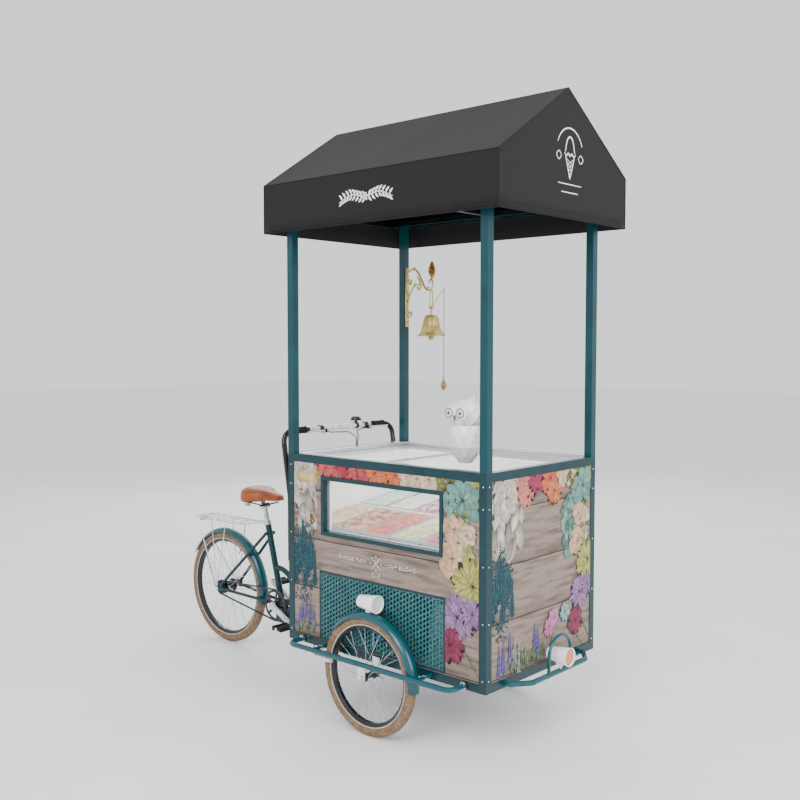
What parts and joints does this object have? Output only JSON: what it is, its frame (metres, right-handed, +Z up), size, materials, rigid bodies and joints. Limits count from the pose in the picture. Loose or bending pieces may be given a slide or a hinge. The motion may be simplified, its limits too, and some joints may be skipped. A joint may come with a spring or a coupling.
{
  "type": "vending cart",
  "caption": "Pedal vending tricycle: a canopied cold-display box on side wheels, steered and driven by a bicycle rear end, with gelato pans, brass bell and slatted grilles.",
  "frame": {"origin": "on the floor under the middle of the whole cart", "axes": "+X towards the front of the box, +Y to the left side, +Z up"},
  "size_m": [2.4836, 0.996, 2.623],
  "materials": {
    "teal_paint": "gloss",
    "fender_paint": "gloss",
    "wood_panel": "printed, satin",
    "door_wood": "satin",
    "floor_sheet": "satin",
    "glass": "clear",
    "tub_lining": "satin",
    "stainless": "brushed",
    "gelato": "soft",
    "machine_black": "satin",
    "fan_plastic": "matt",
    "battery_case": "matt",
    "canopy_cloth": "woven, matt",
    "lamp_white": "gloss",
    "lamp_glass": "clear",
    "bright_steel": "bright",
    "black_metal": "gloss",
    "grip_rubber": "matt",
    "cable_black": "satin",
    "tan_tyre": "matt",
    "hub_grey": "satin",
    "brass": "polished",
    "cord_cotton": "twisted",
    "knob_wood": "varnished",
    "owl_white": "satin",
    "pedal_black": "matt",
    "saddle_leather": "satin",
    "label_brass": "satin"
  },
  "bodies": {
    "cart_box": {"box_frame": "teal_paint", "floor_panel": "floor_sheet", "side_panels": "wood_panel", "end_panels": "wood_panel", "window_frame": "teal_paint", "fixed_glass": "glass", "vent_grilles": "teal_paint", "label_plate": "label_brass", "display_tub": "tub_lining", "pan_deck": "stainless", "gelato_pans": "stainless", "gelato_fills": "gelato", "counter_rim": "stainless", "cooling_unit": "machine_black", "battery": "battery_case", "door_hinges": "stainless", "canopy_frame": "teal_paint", "canopy_cover": "canopy_cloth", "side_rails": "teal_paint", "front_fenders": "fender_paint", "lamp_housings": "lamp_white", "lamp_lenses": "lamp_glass", "bumper_rail": "teal_paint", "front_axles": "bright_steel", "front_calipers": "bright_steel", "handlebar": "black_metal", "grips": "grip_rubber", "handlebar_fittings": "hub_grey", "brake_cables": "cable_black", "steering_head": "hub_grey", "bell_bracket": "brass", "owl_ornament": "owl_white"},
    "front_wheel_right": {"front_tyre_right": "tan_tyre", "front_rim_right": "black_metal", "front_hub_right": "hub_grey"},
    "front_wheel_left": {"front_tyre_left": "tan_tyre", "front_rim_left": "black_metal", "front_hub_left": "hub_grey"},
    "bike": {"bike_frame": "teal_paint", "rear_mudguard": "teal_paint", "rear_rack": "bright_steel", "rear_axle": "hub_grey", "chain": "machine_black"},
    "rear_wheel": {"rear_tyre": "tan_tyre", "rear_rim": "black_metal", "rear_hub": "black_metal"},
    "crank": {"crankset": "black_metal"},
    "pedal_r": {"pedal_right": "pedal_black"},
    "pedal_l": {"pedal_left": "pedal_black"},
    "seat": {"seatpost": "bright_steel", "saddle": "saddle_leather"},
    "lever_r": {"brake_lever_right": "black_metal"},
    "lever_l": {"brake_lever_left": "black_metal"},
    "lid": {"glass_lid": "glass"},
    "door": {"service_door": "door_wood"},
    "fan": {"condenser_fan": "fan_plastic"},
    "bell": {"shop_bell": "brass"},
    "clapper": {"bell_clapper": "brass"},
    "bell_pull": {"pull_cord": "cord_cotton", "pull_knob": "knob_wood"}
  },
  "joints": [
    {"name": "steer", "type": "hinge", "parent": "cart_box", "child": "bike", "pos_m": [0.49775, 0, 0.23], "axis": [0, 0, 1], "range_deg": [-35, 35]},
    {"name": "front_wheel_right_spin", "type": "hinge", "parent": "cart_box", "child": "front_wheel_right", "pos_m": [0.54775, -0.4385, 0.253], "axis": [0, 1, 0], "continuous": true},
    {"name": "front_wheel_left_spin", "type": "hinge", "parent": "cart_box", "child": "front_wheel_left", "pos_m": [0.54775, 0.4385, 0.253], "axis": [0, 1, 0], "continuous": true},
    {"name": "crank_spin", "type": "hinge", "parent": "bike", "child": "crank", "pos_m": [-0.49425, 0, 0.283], "axis": [0, 1, 0], "continuous": true},
    {"name": "rear_wheel_spin", "type": "hinge", "parent": "bike", "child": "rear_wheel", "pos_m": [-0.93825, 0, 0.3035], "axis": [0, 1, 0], "continuous": true},
    {"name": "pedal_right_spin", "type": "hinge", "parent": "crank", "child": "pedal_r", "pos_m": [-0.35169, -0.121, 0.21036], "axis": [0, 1, 0], "continuous": true},
    {"name": "pedal_left_spin", "type": "hinge", "parent": "crank", "child": "pedal_l", "pos_m": [-0.63681, 0.121, 0.35564], "axis": [0, 1, 0], "continuous": true},
    {"name": "seat_height", "type": "slide", "parent": "bike", "child": "seat", "axis": [-0.2588, 0, 0.9659], "range_m": [0, 0.08]},
    {"name": "brake_right", "type": "hinge", "parent": "cart_box", "child": "lever_r", "pos_m": [-0.03425, -0.134, 1.218], "axis": [0, 0, -1], "range_deg": [0, 10], "stiffness_Nm_per_rad": 1.5, "springref_deg": -5.73},
    {"name": "brake_left", "type": "hinge", "parent": "cart_box", "child": "lever_l", "pos_m": [-0.03425, 0.176, 1.218], "axis": [0, 0, 1], "range_deg": [0, 10], "stiffness_Nm_per_rad": 1.5, "springref_deg": -5.73},
    {"name": "lid_slide", "type": "slide", "parent": "cart_box", "child": "lid", "axis": [1, 0, 0], "range_m": [0, 0.43]},
    {"name": "door_swing", "type": "hinge", "parent": "cart_box", "child": "door", "pos_m": [-0.00625, 0.139, 0.515], "axis": [0, 0, -1], "range_deg": [0, 110]},
    {"name": "fan_spin", "type": "hinge", "parent": "cart_box", "child": "fan", "pos_m": [0.55775, -0.172, 0.5], "axis": [0, 1, 0], "continuous": true},
    {"name": "bell_swing", "type": "hinge", "parent": "cart_box", "child": "bell", "pos_m": [0.19775, 0.3735, 1.805], "axis": [0, 1, 0], "range_deg": [-25, 25]},
    {"name": "clapper_swing", "type": "hinge", "parent": "bell", "child": "clapper", "pos_m": [0.19775, 0.3735, 1.75], "axis": [0, 1, 0], "range_deg": [-24, 24]},
    {"name": "pull_swing", "type": "hinge", "parent": "bell", "child": "bell_pull", "pos_m": [0.27775, 0.3735, 1.893], "axis": [0, -1, 0], "range_deg": [-1.5, 40]}
  ],
  "couplings": [
    {"joint": "rear_wheel_spin", "follows": "crank_spin", "ratio": 2.2222}
  ]
}
